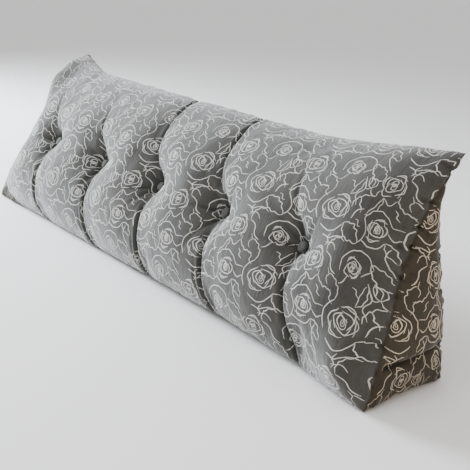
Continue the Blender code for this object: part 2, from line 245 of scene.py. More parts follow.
def valleyLean(share):
    # the cloth lies a little askew: valleys drift one way above the buttons, the other below
    row = form["buttonShare"]
    lean = form["leanTop"] * (1.0 - (1.0 - aboveRow(share)) ** form["leanTopPower"])
    lean = lean + form["leanBase"] * np.clip((row - share) / row, 0.0, 1.0) ** form["leanBasePower"]
    away = np.abs(share - row) * slopeLength
    return lean * smooth((away - form["seatRadius"]) / form["leanStart"])


def tuftSunk(x, share):
    # how deep the buttons and their valleys pull the front in
    valley = np.zeros_like(x)
    dimple = np.zeros_like(x)
    lean = valleyLean(share)
    runOut = smooth(aboveRow(share) / form["valleyFade"])
    begun = smooth(np.abs(share - form["buttonShare"]) * slopeLength / form["creaseStart"])
    for tuft in tufts:
        straight = x - tuft["place"] * form["pitch"]
        offset = straight - lean
        outer = (tuft["place"] * offset > 0.0) & (abs(tuft["place"]) == 2)
        reach = np.where(outer, form["endValleyHalf"], form["valleyHalf"])
        soft = form["valleyDepth"] * np.clip(1.0 - np.abs(offset) / reach, 0.0, 1.0) ** 2
        crease = form["creaseDepth"] * begun * np.exp(-np.abs(offset) / form["creaseReach"])
        valley += tuft["valley"] * (1.0 - (1.0 - tuft["top"]) * runOut) * (soft + crease)
        along = (share - form["buttonShare"]) * slopeLength - tuft["rise"]
        radius = np.maximum(0.0, np.hypot(straight, along) - form["seatRadius"])
        dimple += tuft["depth"] * np.exp(-radius / form["dimpleReach"])
    atSeam = form["valleyAtSeam"]
    valley *= atSeam + (1.0 - atSeam) * halfWave(share) ** form["seamRound"]
    inside = smooth((2.5 * form["pitch"] - np.abs(x)) / (0.5 * form["pitch"]))
    along = (share - form["buttonShare"]) * slopeLength / form["saddleReach"]
    saddle = form["saddleDepth"] * inside * np.exp(-along * along)
    edge = halfWave(share)
    sunk = (valley + saddle) * np.sqrt(edge) + dimple * edge
    return sunk * smooth(fromEnd(x) / form["tuftEndFade"])


def frontNormals(x):
    rise = seamPoints("top", x) - seamPoints("front", x)
    normals = np.stack([np.zeros_like(x), -rise[..., 2], rise[..., 1]], -1)
    return normals / np.linalg.norm(normals, axis=-1, keepdims=True)


def frontPoints(x, share):
    low, high = seamPoints("front", x), seamPoints("top", x)
    points = low + (high - low) * share[..., None]
    height = form["frontCrown"] * halfWave(share ** form["frontLean"]) ** form["frontRound"]
    height = height * endRise(x, "front", form["frontRound"])
    fade = np.clip(fromEnd(x) / form["lumpEndFade"], 0.0, 1.0)
    fade = np.sqrt(fade * np.clip(halfWave(share) / form["lumpSeamFade"], 0.0, 1.0))
    for lumpX, lumpShare, lumpHeight, reach in lumps:
        along = (share - lumpShare) * slopeLength / reach
        height = height + fade * lumpHeight * np.exp(-((x - lumpX) / reach) ** 2 - along ** 2)
    height = height - tuftSunk(x, share)
    points += frontNormals(x) * height[..., None]
    points[..., 0] += bowIn("front", x, share)
    return points


def backPoints(x, share):
    high, low = seamPoints("top", x), seamPoints("back", x)
    points = high + (low - high) * share[..., None]
    pinch = form["pinch"] * (1.0 - smooth(fromEnd(x) / form["bowRun"]))
    crown = form["backCrown"] * endRise(x, "back", form["backRound"])
    points[..., 1] += (crown - pinch) * halfWave(share) ** form["backRound"]
    points[..., 0] += bowIn("back", x, share)
    return points


def basePoints(x, share):
    back, front = seamPoints("back", x), seamPoints("front", x)
    points = back + (front - back) * share[..., None]
    inside = np.clip(np.minimum(share, 1.0 - share) / form["floorCurl"], 0.0, 1.0)
    points[..., 2] *= 1.0 - halfWave(inside / 2) ** form["seamRound"]
    points[..., 0] += bowIn("bottom", x, share)
    return points


# The cover: five cut panels on an even grid, sewn along their shared edges
cover = {
    "cutLength": 1.53,      # of the long panels, a little more than the filled pillow's
    "cutHeight": 0.475, "cutDepth": 0.255,
    "cellLong": 0.0084, "cellFront": 0.0088, "cellBack": 0.017, "cellEnd": 0.0095,
    "cellSeam": 0.0042, "fineRun": 0.035,  # smaller cells beside a seam, and how far in they reach
    "islandGap": 0.05,      # between the cut panels in the cloth's own layout
    "samples": 240,
}


def gradedSteps(length, cell, fineStart, fineEnd):
    # places from 0 to 1 along a strip, closer together beside its sewn edges
    places = [0.0]
    while places[-1] < length:
        away = min(places[-1] if fineStart else length, length - places[-1] if fineEnd else length)
        near = smooth(away / cover["fineRun"])
        places.append(places[-1] + cover["cellSeam"] * (1.0 - near) + cell * near)
    return np.array(places) / places[-1]


def evenShares(surface, x, steps, fromShare=0.0, toShare=1.0):
    # shares at the given steps along the curved cloth of one section
    fine = np.linspace(fromShare, toShare, cover["samples"])
    line = surface(np.full_like(fine, x), fine)
    run = np.concatenate([[0.0], np.cumsum(np.linalg.norm(np.diff(line, axis=0), axis=1))])
    return np.interp(steps * run[-1], run, fine)


def columnPlaces():
    # x of every column: even between the buttons, closer towards the end seams
    row = [tuft["place"] * form["pitch"] for tuft in tufts]
    between = round(form["pitch"] / cover["cellLong"])
    places = [np.linspace(a, b, between, endpoint=False) for a, b in zip(row, row[1:])]
    outer = (half - row[-1]) * gradedSteps(half - row[-1], cover["cellLong"], False, True)
    return np.concatenate([-row[-1] - outer[:0:-1], *places, row[-1] + outer])


class Sewing:
    # collects the panels' points, each with its place in the flat cut wedge
    def __init__(self):
        self.points, self.flat, self.keys = [], [], {}
        self.faces, self.islands = [], []

    def add(self, key, point, flat):
        if key not in self.keys:
            self.keys[key] = len(self.points)
            self.points.append(point)
            self.flat.append(flat)
        return self.keys[key]

    def face(self, corners, spots):
        self.faces.append(corners)
        self.islands.append(spots)


def sewPanels():
    cutL, cutH, cutD = (cover[name] for name in ("cutLength", "cutHeight", "cutDepth"))
    slope, gap = math.hypot(cutH, cutD), cover["islandGap"]
    xs = columnPlaces()
    share = form["buttonShare"]
    low = gradedSteps(slope * share, cover["cellFront"], True, False)
    high = gradedSteps(slope * (1.0 - share), cover["cellFront"], False, True)
    steps = {"front": np.concatenate([share * low, share + (1.0 - share) * high[1:]]),
             "back": gradedSteps(cutH, cover["cellBack"], True, True),
             "base": gradedSteps(cutD, cover["cellBack"], True, True)}
    cut = {"top": np.array([0, cutD / 2, cutH]), "front": np.array([0, -cutD / 2, 0]),
           "back": np.array([0, cutD / 2, 0])}
    sew, index = Sewing(), {}
    for name, surface, lowSeam, highSeam, islandV in (
            ("front", frontPoints, "front", "top", 0.0),
            ("back", backPoints, "top", "back", slope + gap),
            ("base", basePoints, "back", "front", slope + cutH + 2 * gap)):
        first, last = cut[lowSeam], cut[highSeam]
        width = np.linalg.norm(last - first)
        rows = len(steps[name]) - 1
        seams = {0: lowSeam, rows: highSeam}
        for i, x in enumerate(xs):
            if name == "front":
                shares = np.concatenate([evenShares(surface, x, low, 0.0, share),
                                         evenShares(surface, x, high, share, 1.0)[1:]])
            else:
                shares = evenShares(surface, x, steps[name])
            line = surface(np.full_like(shares, x), shares)
            for j in range(rows + 1):
                flat = first + (last - first) * steps[name][j]
                flat = np.array([cutL * x / form["length"], flat[1], flat[2]])
                key = (seams[j], i) if j in seams else (name, i, j)
                index[name, i, j] = sew.add(key, line[j], flat)
        for i in range(len(xs) - 1):
            for j in range(rows):
                spots = [(i, j), (i + 1, j), (i + 1, j + 1), (i, j + 1)]
                places = [(cutL * (xs[a] / form["length"] + 0.5), islandV + width * steps[name][b])
                          for a, b in spots]
                sew.face([index[name, a, b] for a, b in spots], places)
    nf, nb, nd = (len(steps[name]) - 1 for name in ("front", "back", "base"))
    for end, i in (("far", 0), ("near", len(xs) - 1)):
        sewEnd(sew, end, i, index, (nf, nb, nd), (cutL, cutH, cutD), cover["cellEnd"])
    return sew, index, (xs, nf, nb, nd, len(low) - 1)


def sewEnd(sew, end, i, index, rows, cuts, cell):
    # a triangular end: its rim is the three seams, its inside an even spread of points
    nf, nb, nd = rows
    cutL, cutH, cutD = cuts
    rim = [index["front", i, j] for j in range(nf)]
    rim += [index["back", i, j] for j in range(nb)]
    rim += [index["base", i, j] for j in range(nd)]
    rimFlat = np.array([sew.flat[v][1:] for v in rim])
    rimPoints = np.array([sew.points[v] for v in rim])
    inside = []
    row, high = 0, cell * 0.8
    while high < cutH:
        left, right = -cutD / 2 + cutD * high / cutH, cutD / 2
        spot = left + cell * (0.9 if row % 2 else 0.6)
        while spot < right - 0.5 * cell:
            if np.linalg.norm(rimFlat - (spot, high), axis=1).min() > 0.55 * cell:
                inside.append((spot, high))
            spot += cell
        row, high = row + 1, high + cell * 0.866
    flats = [Vector(p) for p in rimFlat] + [Vector(p) for p in inside]
    edges = [(k, (k + 1) % len(rim)) for k in range(len(rim))]
    result = geometry.delaunay_2d_cdt(flats, edges, [], 1, 1e-6)
    spots, origin = result[0], result[3]
    side = ends[end]["side"]
    shift = rimPoints[:, 1:] - rimFlat
    centre = np.array([rimPoints[:, 0].mean(), *form["middle"][1:]])
    ids = []
    for spot, source in zip(spots, origin):
        if source and source[0] < len(rim):
            ids.append(rim[source[0]])
            continue
        flat = np.array(spot)
        away = np.linalg.norm(rimFlat - flat, axis=1)
        weight = away ** -3.0
        weight /= weight.sum()
        place = flat + weight @ shift
        depth = away.min()
        share = min(1.0, depth / 0.075)
        x = weight @ rimPoints[:, 0]
        swell = ends[end]["crown"] * halfWave(share / 2) ** form["endRound"]
        swell *= np.clip((form["height"] - place[1]) / form["crownFull"], 0.0, 1.0)
        floor = form["crownFloor"]
        swell *= floor + (1.0 - floor) * smooth(place[1] / form["crownLow"])
        fold = (place[1] - form["foldHeight"] - form["foldSag"] * place[0] ** 2) / form["foldReach"]
        swell -= form["foldDepth"] * math.exp(-fold * fold) * smooth(share / form["foldStart"])
        point = np.array([x + side * swell, *place])
        flat3 = np.array([side * cutL / 2, *flat])
        ids.append(sew.add((end, len(sew.points)), point, flat3))
    shiftU = cutL + cover["islandGap"] + cutD / 2
    shiftV = 0.0 if end == "near" else cutH + cover["islandGap"]
    for face in result[2]:
        loop = [ids[k] for k in face]
        places = [(shiftU - side * spots[k][0], shiftV + spots[k][1]) for k in face]
        if side < 0:
            loop, places = loop[::-1], places[::-1]
        sew.face(loop, places)


def meshPoints(mesh):
    points = np.empty(len(mesh.vertices) * 3)
    mesh.vertices.foreach_get("co", points)
    return points.reshape(-1, 3)


def setPoints(mesh, points):
    mesh.vertices.foreach_set("co", np.asarray(points, dtype=np.float32).ravel())
    mesh.update()


def makeCover():
    sew, index, counts = sewPanels()
    points = np.array(sew.points)
    shift = np.array(form["centring"])
    mesh = bpy.data.meshes.new("pillowCover")
    mesh.from_pydata([tuple(p) for p in points + shift], [], sew.faces)
    layer = mesh.uv_layers.new(name="cutPanels")
    layer.data.foreach_set("uv", np.array([uv for face in sew.islands for uv in face]).ravel())
    item = newObject("pillowCover", mesh)
    return item, sew, index, counts, shift


item, sew, index, counts, shift = makeCover()
print("cover sewn:", len(item.data.vertices), "points")


# Filling the cover: pressure pushes the sewn cloth out against its seams and buttons
filling = {
    "pressure": 3.0, "frames": 20, "quality": 6, "mass": 0.3,
    "stretch": 30.0, "bend": 0.6, "damp": 8.0,
    "seamHold": 0.35,       # how firmly the seams keep their line
    "moveCap": 0.016, "swell": 0.35, "smoothing": 24,
}


def fillCover(item, sew, index, counts):
    xs, nf, nb, nd, lowRows = counts
    nx = len(xs) - 1
    mesh = item.data
    start = meshPoints(mesh)
    item.shape_key_add(name="Basis")
    cut = item.shape_key_add(name="cut")
    flat = np.array(sew.flat)
    cut.data.foreach_set("co", flat.astype(np.float32).ravel())
    pinned = item.vertex_groups.new(name="sewn")
    for tuft in tufts:
        i = int(np.abs(xs - tuft["place"] * form["pitch"]).argmin())
        for di in (-1, 0, 1):
            for dj in (-1, 0, 1):
                pinned.add([index["front", i + di, lowRows + dj]], 1.0, "REPLACE")
    for i in range(nx + 1):
        for key in (("front", i, 0), ("front", i, nf), ("base", i, 0)):
            pinned.add([index[key]], filling["seamHold"], "REPLACE")
    for i in (0, nx):
        for name, rows in (("front", nf), ("back", nb), ("base", nd)):
            for j in range(rows + 1):
                pinned.add([index[name, i, j]], filling["seamHold"], "REPLACE")
    cloth = item.modifiers.new("filling", "CLOTH")
    settings = cloth.settings
    settings.quality = filling["quality"]
    settings.mass = filling["mass"]
    settings.tension_stiffness = filling["stretch"]
    settings.compression_stiffness = filling["stretch"]
    settings.shear_stiffness = filling["stretch"] / 2
    settings.bending_stiffness = filling["bend"]
    settings.tension_damping = filling["damp"]
    settings.compression_damping = filling["damp"]
    settings.vertex_group_mass = "sewn"
    settings.rest_shape_key = cut
    settings.use_pressure = True
    settings.uniform_pressure_force = filling["pressure"]
    settings.effector_weights.gravity = 0.0
    cloth.collision_settings.use_collision = False
    cloth.point_cache.frame_start = 1
    cloth.point_cache.frame_end = filling["frames"]
    scene = bpy.context.scene
    for number in range(1, filling["frames"] + 1):
        scene.frame_set(number)
    evaluated = item.evaluated_get(bpy.context.evaluated_depsgraph_get())
    moved = meshPoints(evaluated.data)
    item.modifiers.remove(cloth)
    item.shape_key_clear()
    scene.frame_set(1)
    return start, moved


# Velvet: a dark ground with a pale sheen where its pile is seen from the side
velvet = {
    "groundHex": "#3f403d", "lightHex": "#4e4e4a", "roughness": 0.85,
    "paintedShadeHex": "#2b2a28", "warmShadeHex": "#423d32", "warmShadeSheenLoss": 0.35,  # painted shade in a fold; painted warm shade and less sheen on the ends
    "streakWidth": 0.0040, "streakLength": 0.026, "streak": 0.60, "streakBump": 0.9,  # brushed pile
    "nap": 0.45, "streakShade": 0.30,
    "sheen": 1.0, "sheenRoughness": 0.42, "sheenHex": "#ffffff",
    "patchSize": 0.045, "pileSize": 0.0006, "pileBump": 0.25, "ripple": 0.35,
}


def mixColour(tree, share, first, second):
    return addNode(tree, "ShaderNodeMix", {"Factor": share, 6: first, 7: second},
                   data_type="RGBA").outputs[2]


def rescale(tree, value, fromMin, fromMax, toMin=0.0, toMax=1.0):
    return addNode(tree, "ShaderNodeMapRange", {
        "Value": value, "From Min": fromMin, "From Max": fromMax,
        "To Min": toMin, "To Max": toMax}).outputs[0]


def multiplyAdd(tree, *values, **settings):
    return addNode(tree, "ShaderNodeMath", dict(enumerate(values)), operation="MULTIPLY_ADD",
                   **settings).outputs[0]


def clothNoise(tree, place, scale, detail, roughness, distortion=0.0):
    return addNode(tree, "ShaderNodeTexNoise", {
        "Vector": place, "Scale": scale, "Detail": detail, "Roughness": roughness,
        "Distortion": distortion}).outputs["Fac"]


def addBump(tree, height, strength, distance, **under):
    return addNode(tree, "ShaderNodeBump", {
        "Height": height, "Strength": strength, "Distance": distance, **under}).outputs["Normal"]


def addShader(tree, inputs):
    shader = addNode(tree, "ShaderNodeBsdfPrincipled", inputs)
    addNode(tree, "ShaderNodeOutputMaterial", {"Surface": shader.outputs[0]})


def placeShades(tree):
    # painted warm shade of the end panels and the far lower strip, and painted shade by how deep a
    # point lies in a fold or seam
    return (addNode(tree, "ShaderNodeAttribute", attribute_name=name).outputs["Fac"]
            for name in ("endPanel", "hollow"))


def makeVelvet(name, values):
    material, tree = newMaterial(name)
    ground, light, end, fold = (hexColour(values[key])
                                for key in ("groundHex", "lightHex", "warmShadeHex", "paintedShadeHex"))
    spot = addNode(tree, "ShaderNodeTexCoord").outputs["Object"]
    patch = clothNoise(tree, spot, 1.0 / values["patchSize"], 3.0, 0.55)
    nap = clothNoise(tree, spot, 0.25 / values["pileSize"], 2.0, 0.6)
    blend = multiplyAdd(tree, nap, 0.35, multiplyAdd(tree, patch, 0.65, 0.0))
    colour = mixColour(tree, rescale(tree, blend, 0.35, 0.65), ground, light)
    warmEndShade, creaseShade = placeShades(tree)
    laid = addNode(tree, "ShaderNodeMapping", {
        "Vector": addNode(tree, "ShaderNodeUVMap", uv_map="cutPanels").outputs[0],
        "Scale": (1.0 / values["streakWidth"], 1.0 / values["streakLength"], 1.0)})
    brushed = clothNoise(tree, laid.outputs[0], 1.0, 2.0, 0.5, 0.6)
    combed = rescale(tree, brushed, 0.35, 0.65, 0.0, values["streakShade"])
    # painted warm shade on the end panels and the far lower strip
    colour = mixColour(tree, warmEndShade, colour, end)
    # painted shade in folds and seams; the brushed streaks also mix toward this dark colour
    colour = mixColour(tree, creaseShade, mixColour(tree, combed, colour, fold), fold)
    full = values["sheen"] + 0.3 * values["nap"]
    streaked = rescale(tree, brushed, 0.3, 0.7, full - values["streak"], full)
    napped = multiplyAdd(tree, rescale(tree, nap, 0.3, 0.7), -values["nap"], streaked)
    # less sheen in folds and seams: painted shade
    clear = multiplyAdd(tree, creaseShade, -0.8, napped)
    # less sheen on the end panels and the far lower strip: painted warm shade
    sheen = multiplyAdd(tree, warmEndShade, -values["warmShadeSheenLoss"], clear, use_clamp=True)
    streaks = addBump(tree, brushed, values["streakBump"], 0.0012)
    ripple = clothNoise(tree, spot, 55.0, 3.0, 0.6, 0.4)
    soft = addBump(tree, ripple, values["ripple"], 0.0015, Normal=streaks)
    addShader(tree, {
        "Base Color": colour, "Roughness": values["roughness"], "Specular IOR Level": 0.15,
        "Sheen Weight": sheen, "Sheen Roughness": values["sheenRoughness"],
        "Sheen Tint": hexColour(values["sheenHex"]),
        "Normal": addBump(tree, nap, values["pileBump"], 0.0006, Normal=soft)})
    return material


def neighbourMean(values, edges, rounds, keep=0.0):
    # evens out a value over the mesh, so that only its broad change is left
    count = np.bincount(edges.ravel(), minlength=len(values))[:, None]
    for number in range(rounds):
        total = np.zeros_like(values)
        np.add.at(total, edges[:, 0], values[edges[:, 1]])
        np.add.at(total, edges[:, 1], values[edges[:, 0]])
        values = keep * values + (1.0 - keep) * total / count
    return values


def blendFilling(item, start, moved):
    # the form keeps its measured shape; the filled cloth adds its ripples and part of its swell
    delta = moved - start
    length = np.linalg.norm(delta, axis=1, keepdims=True)
    delta *= filling["moveCap"] * np.tanh(length / filling["moveCap"]) / np.maximum(length, 1e-9)
    edges = np.empty(len(item.data.edges) * 2, dtype=np.int32)
    item.data.edges.foreach_get("vertices", edges)
    broad = neighbourMean(delta, edges.reshape(-1, 2), filling["smoothing"])
    setPoints(item.data, start + (delta - broad) + filling["swell"] * broad)


def refine(item):
    # one subdivision, applied
    halve = item.modifiers.new("halve", "SUBSURF")
    halve.levels = halve.render_levels = 1
    halve.uv_smooth = "NONE"
    halve.boundary_smooth = "PRESERVE_CORNERS"
    graph = bpy.context.evaluated_depsgraph_get()
    mesh = bpy.data.meshes.new_from_object(item.evaluated_get(graph))
    item.modifiers.clear()
    item.data = mesh


start, moved = fillCover(item, sew, index, counts)
blendFilling(item, start, moved)
refine(item)
print("cover filled:", round(1000 * float(np.abs(moved - start).max())), "mm at most")


# Painted shade: how folds, seams and the low parts of the cloth are darkened in colour where little
# light gets in
shading = {
    "foldDepth": 0.0034, "seamWidth": 0.0016, "seamShade": 0.45,
    "lowEndShade": 0.28,        # painted shade, darker below the fold across each end
    "underHigh": 0.085, "underFade": 0.014, "underFrom": 0.56, "underRun": 0.17,
    "underShade": 0.55,     # painted shade: a darker strip that tapers away from the far lower ear, where the cloth turns under
}

# Pleats and puckers, drawn in the cut cloth's own metres: u along it, v up the slope
pleats = {
    "runs": [  # button, way, drift at the seam, bow, depth, width, from, to
        (1, -1, 0.000, 0.002, 0.005, 0.0040, 0.25, 1.0),
        (1, -1, -0.014, -0.003, 0.0022, 0.0035, 0.55, 1.0),
        (2, -1, 0.002, 0.003, 0.007, 0.0042, 0.20, 1.0),
        (2, -1, -0.013, -0.004, 0.0028, 0.0035, 0.50, 1.0),
        (3, -1, 0.003, 0.003, 0.009, 0.0045, 0.18, 1.0),
        (3, -1, -0.012, -0.004, 0.0034, 0.0036, 0.45, 1.0),
        (3, -1, 0.017, 0.004, 0.003, 0.0035, 0.60, 1.0),
        (4, -1, 0.003, 0.003, 0.009, 0.0045, 0.18, 1.0),
        (4, -1, -0.013, -0.004, 0.0034, 0.0036, 0.45, 1.0),
        (5, -1, 0.000, 0.002, 0.006, 0.0042, 0.20, 1.0),
        (5, -1, -0.012, -0.003, 0.003, 0.0035, 0.60, 1.0),
        (3, 1, 0.002, 0.002, 0.006, 0.0045, 0.15, 1.0),
        (3, 1, 0.014, 0.003, 0.003, 0.0035, 0.65, 1.0),
        (4, 1, 0.000, 0.002, 0.005, 0.0045, 0.15, 1.0),
        (4, 1, -0.013, -0.002, 0.003, 0.0035, 0.70, 1.0),
        (1, 1, 0.000, 0.002, 0.004, 0.0045, 0.10, 0.55),
        (2, 1, 0.000, 0.002, 0.005, 0.0045, 0.10, 0.60),
        (5, 1, 0.000, 0.002, 0.004, 0.0045, 0.10, 0.60),
    ],
    "lip": 0.45,            # height of the fold's shoulder beside its line
    "rays": 7, "rayDepth": 0.0100, "rayWidth": 0.0054, "rayLength": 0.034,
    "pucker": 0.0013, "puckerReach": 0.011, "puckerWave": 0.017,
    "seamGroove": 0.0026, "seamWidth": 0.0030, "seamWander": 0.0022, "wanderSize": 0.026,
    "pullGap": 0.030, "pullDepth": 0.0080, "pullWidth": 0.0050, "pullReach": 0.020,
    # the sharp line of the fold across each end
    "buckle": 0.0065, "buckleWidth": 0.0036, "buckleRise": 0.06,
    "ripple": 0.0016, "rippleSize": 0.055, "seed": 5,
    "floorGap": 0.0007,     # room for the print under the pillow
    "earReach": 0.028, "earRounds": 14,
}


def cutSpots(item, panel):
    # each point's place in one cut panel, or nan where it isn't in that panel
    mesh = item.data
    spots = np.empty(len(mesh.loops) * 2)
    mesh.uv_layers["cutPanels"].data.foreach_get("uv", spots)
    spots = spots.reshape(-1, 2)
    ids = np.empty(len(mesh.loops), dtype=np.int32)
    mesh.loops.foreach_get("vertex_index", ids)
    low, high = islands[panel]
    inside = np.all((spots > np.array(low) - 1e-4) & (spots < np.array(high) + 1e-4), axis=1)
    found = np.full((len(mesh.vertices), 2), np.nan)
    found[ids[inside]] = spots[inside]
    return found


def makeIslands():
    cutL, cutH, cutD = (cover[name] for name in ("cutLength", "cutHeight", "cutDepth"))
    slope, gap = math.hypot(cutH, cutD), cover["islandGap"]
    ends = cutL + gap
    return {
        "front": ((0.0, 0.0), (cutL, slope)),
        "back": ((0.0, slope + gap), (cutL, slope + gap + cutH)),
        "base": ((0.0, slope + cutH + 2 * gap), (cutL, slope + cutH + 2 * gap + cutD)),
        "ends": ((ends, 0.0), (ends + cutD, 2 * cutH + gap)),
    }


islands = makeIslands()
slopeCut = math.hypot(cover["cutHeight"], cover["cutDepth"])


def tuftSpot(tuft):
    u = (tuft["place"] * form["pitch"] / form["length"] + 0.5) * cover["cutLength"]
    return np.array([u, form["buttonShare"] * slopeCut + tuft["rise"]])


def waveNoise(places, size, seed):
    # smooth uneven noise, one value for each place
    shift = Vector((seed * 7.3, seed * 3.1, seed * 5.7))
    return np.array([noise.fractal(Vector(p) / size + shift, 1.0, 2.0, 2) for p in places])


def pleatHeight(u, v):
    height = np.zeros_like(u)
    for number, way, drift, bow, depth, width, first, last in pleats["runs"]:
        x, y = tuftSpot(tufts[number - 1])
        full = y if way < 0 else slopeCut - y
        run = way * (v - y) / full
        inside = (run > 0.0) & (run < 1.02)
        line = x + drift * run + bow * np.sin(math.pi * np.clip(run, 0, 1))
        line = line + valleyLean(v / slopeCut)
        away = np.abs(u - line)
        strength = smooth((run - first) / 0.25)
        if last < 1.0:
            strength = strength * (1.0 - smooth((run - last + 0.25) / 0.25))
        fold = pleats["lip"] * np.exp(-((away - 2.2 * width) / (1.3 * width)) ** 2)
        fold = fold - np.exp(-away / width)
        height += np.where(inside, depth * strength * fold, 0.0)
    spread = np.random.default_rng(pleats["seed"])
    for tuft in tufts:
        x, y = tuftSpot(tuft)
        radius = np.hypot(u - x, v - y)
        turn = np.arctan2(v - y, u - x)
        for ray in range(pleats["rays"]):
            aim = 2 * math.pi * (ray + spread.uniform(-0.3, 0.3)) / pleats["rays"]
            length = pleats["rayLength"] * spread.uniform(0.7, 1.3)
            side = np.abs((turn - aim + math.pi) % (2 * math.pi) - math.pi) * radius
            ray = np.exp(-(side / pleats["rayWidth"]) ** 2) * np.exp(-radius / length)
            begun = smooth((radius - 0.010) / 0.012)
            height -= pleats["rayDepth"] * ray * begun * (side < 0.5 * radius)
    return height


def seamPulls(item, points):
    # the end seams are gathered: short tucks run off both sides of each pulled stitch
    spread = np.random.default_rng(pleats["seed"] + 1)
    depth = np.zeros(len(points))
    front, back = cutSpots(item, "front"), cutSpots(item, "back")
    for side in (-1, 1):
        for spots, panel in ((front, "front"), (back, "back")):
            low, high = islands[panel]
            edgeU = high[0] if side > 0 else low[0]
            seam = np.flatnonzero(np.abs(spots[:, 0] - edgeU) < 1e-4)
            seam = seam[np.argsort(spots[seam, 1])]
            line = points[seam]
            run = np.concatenate([[0.0], np.cumsum(np.linalg.norm(np.diff(line, axis=0), axis=1))])
            places = np.cumsum(spread.uniform(0.45, 1.7, 40) * pleats["pullGap"])
            strengths = spread.uniform(0.0, 1.1, 40) ** 1.6
            widths = spread.uniform(0.7, 1.6, 40) * pleats["pullWidth"]
            lengths = spread.uniform(0.5, 1.9, 40) * pleats["pullReach"]
            slants = spread.uniform(-0.5, 0.5, 40)
            close = np.flatnonzero(side * points[:, 0] > half - 0.12)
            for k in close:
                gap = np.linalg.norm(line - points[k], axis=1)
                best = gap.argmin()
                if gap[best] > 0.06:
                    continue
                along = (places - run[best] + slants * gap[best]) / widths
                tuck = float((strengths * np.exp(-along * along - gap[best] / lengths)).sum())
                depth[k] = max(depth[k], tuck)
    return pleats["pullDepth"] * depth


def dressCover(item):
    mesh = item.data
    points = meshPoints(mesh)
    normals = np.empty(len(mesh.vertices) * 3)
    mesh.vertex_normals.foreach_get("vector", normals)
    normals = normals.reshape(-1, 3)
    height = np.zeros(len(points))
    spots = cutSpots(item, "front")
    front = ~np.isnan(spots[:, 0])
    u, v = spots[front].T
    folds = pleatHeight(u, v)
    height[front] += folds * np.clip(np.minimum(v, slopeCut - v) / 0.01, 0.35, 1.0)
    near = np.full(len(points), 1.0)  # distance to the nearest seam
    for panel in ("front", "back", "base"):
        place = cutSpots(item, panel)
        inside = ~np.isnan(place[:, 0])
        low, high = np.array(islands[panel][0]), np.array(islands[panel][1])
        edge = np.minimum(place[inside] - low, high - place[inside]).min(1)
        near[inside] = np.minimum(near[inside], edge)
    ends = ~np.isnan(cutSpots(item, "ends")[:, 0])
    rim = points[ends & (near < 1e-4)]
    for k in np.flatnonzero(ends & (near > 0.5)):
        near[k] = np.linalg.norm(rim - points[k], axis=1).min()
    height -= seamPulls(item, points)
    tips = earTips(points)
    away = points[:, 2] - form["foldHeight"] - pleats["buckleRise"] * points[:, 1]
    away -= form["foldSag"] * (points[:, 1] - shift[1]) ** 2
    buckle = np.exp(-(away / pleats["buckleWidth"]) ** 2) * ends * smooth(near / 0.012)
    height -= pleats["buckle"] * buckle
    wave = waveNoise(points, pleats["puckerWave"], 2)
    height += pleats["pucker"] * wave * 2.0 * np.exp(-near / pleats["puckerReach"])
    height -= pleats["seamGroove"] * np.exp(-(near / pleats["seamWidth"]) ** 2) * (1.0 + 0.8 * wave)
    height += pleats["ripple"] * waveNoise(points, pleats["rippleSize"], 4)
    still = smooth((tips - 0.006) / 0.022)
    for tuft in tufts:
        radius = np.linalg.norm(points - tuftSeat(tuft)[0], axis=1)
        still = np.minimum(still, smooth((radius - 0.012) / 0.014))
    points += normals * (height * still)[:, None]
    loose = np.exp(-(near / 0.016) ** 2) * (np.abs(points[:, 0]) > half - 0.09)
    loose = loose * smooth(tips / 0.03)
    for axis, seed in ((0, 6), (1, 7)):
        wander = waveNoise(points, pleats["wanderSize"], seed)
        points[:, axis] += pleats["seamWander"] * 2.0 * loose * wander
    for tuft in tufts:
        seat, normal = tuftSeat(tuft)
        radius = np.linalg.norm(points - seat, axis=1)
        flat = 1.0 - smooth((radius - form["seatRadius"]) / 0.008)
        above = (points - seat) @ normal
        points -= normal * (above * flat)[:, None]
    points[:, 2] = np.maximum(points[:, 2], pleats["floorGap"])
    setPoints(mesh, points)
    keepShading(mesh, points, near, ends, smooth(tips / 0.02))


def keepShading(mesh, points, near, ends, away):
    # per point, painted shade: how deep it lies in a fold or seam, darker low on each end and along
    # the far lower strip; and the painted warm shade of the end panels and that strip
    normals = np.empty(len(points) * 3)
    mesh.vertex_normals.foreach_get("vector", normals)
    edges = np.empty(len(mesh.edges) * 2, dtype=np.int32)
    mesh.edges.foreach_get("vertices", edges)
    edges = edges.reshape(-1, 2)
    broad = neighbourMean(points, edges, 5)
    deep = ((broad - points) * normals.reshape(-1, 3)).sum(1)
    deep = np.clip(deep / shading["foldDepth"], 0.0, 1.0)
    seam = np.exp(-(near / shading["seamWidth"]) ** 2)
    hollow = np.clip(np.maximum(deep, shading["seamShade"] * seam), 0.0, 1.0)
    hollow = away * neighbourMean(hollow[:, None], edges, 1, 0.5)[:, 0]
    # painted shade: darker below the fold across each end
    low = smooth((form["foldHeight"] - points[:, 2]) / 0.02) * ends
    hollow = np.maximum(hollow, shading["lowEndShade"] * low)
    # painted shade: a strip of the far front's lowest edge, where the cloth turns under, tapering
    # away from the far lower ear
    high = shading["underHigh"] * (-points[:, 0] - shading["underFrom"]) / shading["underRun"]
    under = smooth((high - points[:, 2]) / shading["underFade"])
    hollow = np.maximum(hollow, shading["underShade"] * under)
    # kept as point attributes: the painted shade, and the painted warm shade of the end panels and
    # the far lower strip
    for name, values in (("hollow", hollow), ("endPanel", np.maximum(ends, under))):
        layer = mesh.attributes.new(name, "FLOAT", "POINT")
        layer.data.foreach_set("value", values.astype(np.float32))


def tuftSeat(tuft):
    x = np.array([tuft["place"] * form["pitch"]])
    share = np.array([form["buttonShare"] + tuft["rise"] / slopeLength])
    return frontPoints(x, share)[0] + np.array(form["centring"]), frontNormals(x)[0]


